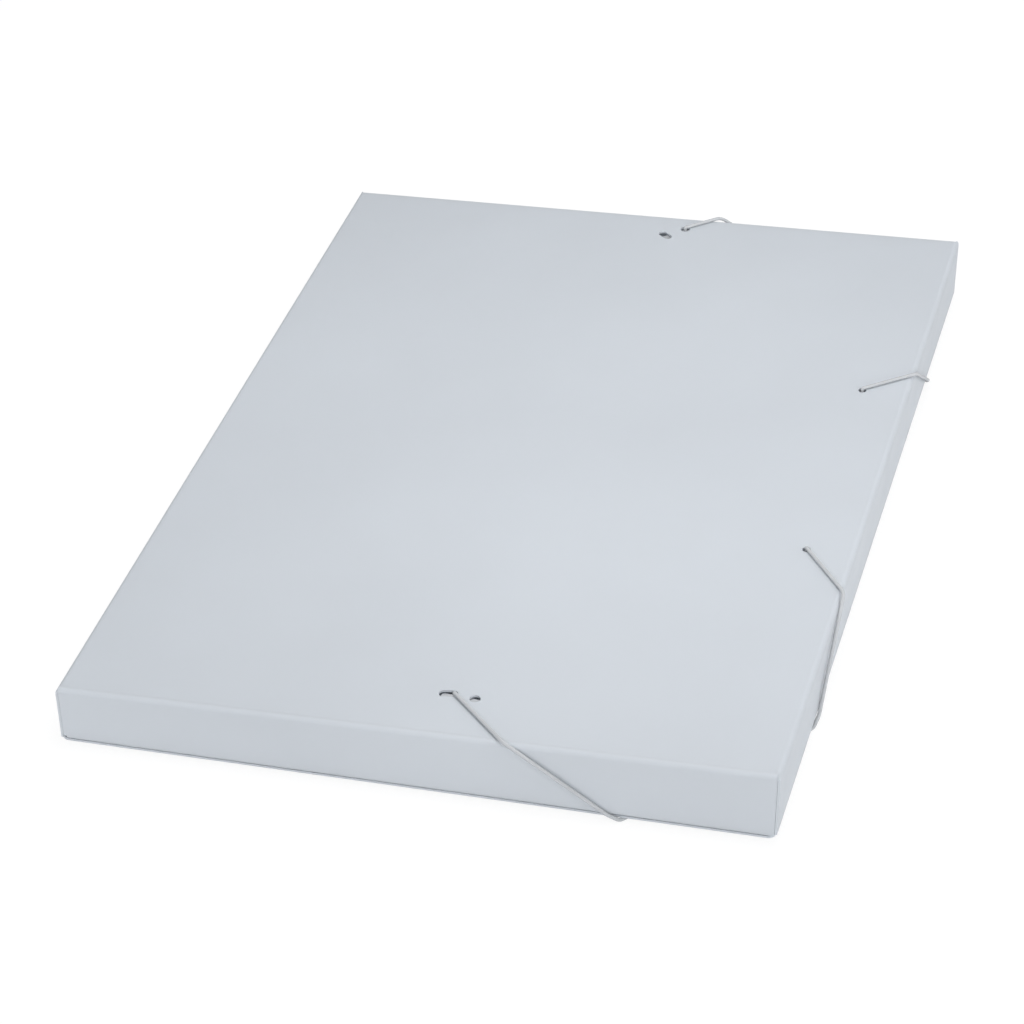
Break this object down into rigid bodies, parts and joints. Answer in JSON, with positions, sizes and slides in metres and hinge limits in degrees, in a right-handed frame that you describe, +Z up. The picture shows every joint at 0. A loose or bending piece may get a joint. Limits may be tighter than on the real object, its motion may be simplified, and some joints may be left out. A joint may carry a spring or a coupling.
{
  "type": "elastic closure file box",
  "caption": "Flat document box of creased translucent plastic sheet with folded side walls, inner flaps and an elastic cord that holds the cover shut.",
  "frame": {"origin": "under the middle of the closed box's bounding box, on the surface it lies on", "axes": "+X from the spine to the fore edge, +Y along the spine from the near end to the far end, +Z up"},
  "size_m": [0.2516, 0.353, 0.0298],
  "materials": {
    "sheet": "milky translucent polypropylene, fine satin face",
    "elastic_cord": "white braided elastic cord",
    "metal_tip": "crimped steel bar"
  },
  "bodies": {
    "cover": {"front_cover": "sheet"},
    "spine": {"spine_wall": "sheet", "spine_lower_crease": "sheet", "spine_upper_crease": "sheet"},
    "back": {"back_panel": "sheet", "inner_elastic": "elastic_cord", "near_tip": "metal_tip", "far_tip": "metal_tip"},
    "near_side": {"near_wall": "sheet", "near_upper_crease": "sheet"},
    "near_inner_flap": {"near_flap": "sheet", "near_lower_crease": "sheet"},
    "far_side": {"far_wall": "sheet", "far_upper_crease": "sheet"},
    "far_inner_flap": {"far_flap": "sheet", "far_lower_crease": "sheet"},
    "fore_side": {"fore_wall": "sheet", "fore_upper_crease": "sheet"},
    "fore_inner_flap": {"fore_flap": "sheet", "fore_lower_crease": "sheet"},
    "near_cord": {"near_elastic_start": "elastic_cord", "near_elastic_under": "elastic_cord", "near_elastic_finish": "elastic_cord"},
    "far_cord": {"far_elastic_start": "elastic_cord", "far_elastic_under": "elastic_cord", "far_elastic_finish": "elastic_cord"}
  },
  "joints": [
    {"name": "spine_fold", "type": "hinge", "parent": "cover", "child": "spine", "pos_m": [-0.12535, 0, 0.0019], "axis": [0, -1, 0], "range_deg": [0, 90], "deforming": ["spine_lower_crease"]},
    {"name": "back_panel_fold", "type": "hinge", "parent": "spine", "child": "back", "pos_m": [-0.12535, 0, 0.02361], "axis": [0, -1, 0], "range_deg": [0, 89.01], "deforming": ["spine_upper_crease"]},
    {"name": "near_wall_fold", "type": "hinge", "parent": "back", "child": "near_side", "pos_m": [-0.00076, -0.1746, 0.02575], "axis": [-0.9999, 0, -0.0172], "range_deg": [0, 90], "deforming": ["near_upper_crease"]},
    {"name": "near_flap_fold", "type": "hinge", "parent": "near_side", "child": "near_inner_flap", "pos_m": [0, -0.1746, 0.003], "axis": [-1, 0, 0], "range_deg": [0, 90], "deforming": ["near_lower_crease"]},
    {"name": "far_wall_fold", "type": "hinge", "parent": "back", "child": "far_side", "pos_m": [-0.00076, 0.1746, 0.02575], "axis": [0.9999, 0, 0.0172], "range_deg": [0, 90], "deforming": ["far_upper_crease"]},
    {"name": "far_flap_fold", "type": "hinge", "parent": "far_side", "child": "far_inner_flap", "pos_m": [0, 0.1746, 0.003], "axis": [1, 0, 0], "range_deg": [0, 90], "deforming": ["far_lower_crease"]},
    {"name": "fore_wall_fold", "type": "hinge", "parent": "back", "child": "fore_side", "pos_m": [0.12394, 0, 0.02789], "axis": [0, -1, 0], "range_deg": [0, 93.99], "deforming": ["fore_upper_crease"]},
    {"name": "fore_flap_fold", "type": "hinge", "parent": "fore_side", "child": "fore_inner_flap", "pos_m": [0.12263, 0, 0.003], "axis": [0, -1, 0], "range_deg": [0, 87], "deforming": ["fore_lower_crease"]},
    {"name": "near_elastic_release", "type": "hinge", "parent": "back", "child": "near_cord", "pos_m": [0.0088, -0.15267, 0.02711], "axis": [-0.685, -0.7284, -0.0118], "range_deg": [0, 180], "deforming": ["near_elastic_start", "near_elastic_under", "near_elastic_finish"]},
    {"name": "far_elastic_release", "type": "hinge", "parent": "back", "child": "far_cord", "pos_m": [0.01472, 0.1655, 0.02722], "axis": [0.6523, -0.7579, 0.0112], "range_deg": [0, 180], "deforming": ["far_elastic_start", "far_elastic_under", "far_elastic_finish"]}
  ],
  "couplings": [
    {"joint": "back_panel_fold", "follows": "spine_fold", "ratio": 0.98905},
    {"joint": "near_wall_fold", "follows": "spine_fold", "ratio": 1},
    {"joint": "near_flap_fold", "follows": "spine_fold", "ratio": 1},
    {"joint": "far_wall_fold", "follows": "spine_fold", "ratio": 1},
    {"joint": "far_flap_fold", "follows": "spine_fold", "ratio": 1},
    {"joint": "fore_wall_fold", "follows": "spine_fold", "ratio": 1.0443},
    {"joint": "fore_flap_fold", "follows": "spine_fold", "ratio": 0.96667},
    {"joint": "near_elastic_release", "follows": "spine_fold", "ratio": 2},
    {"joint": "far_elastic_release", "follows": "spine_fold", "ratio": 2}
  ]
}
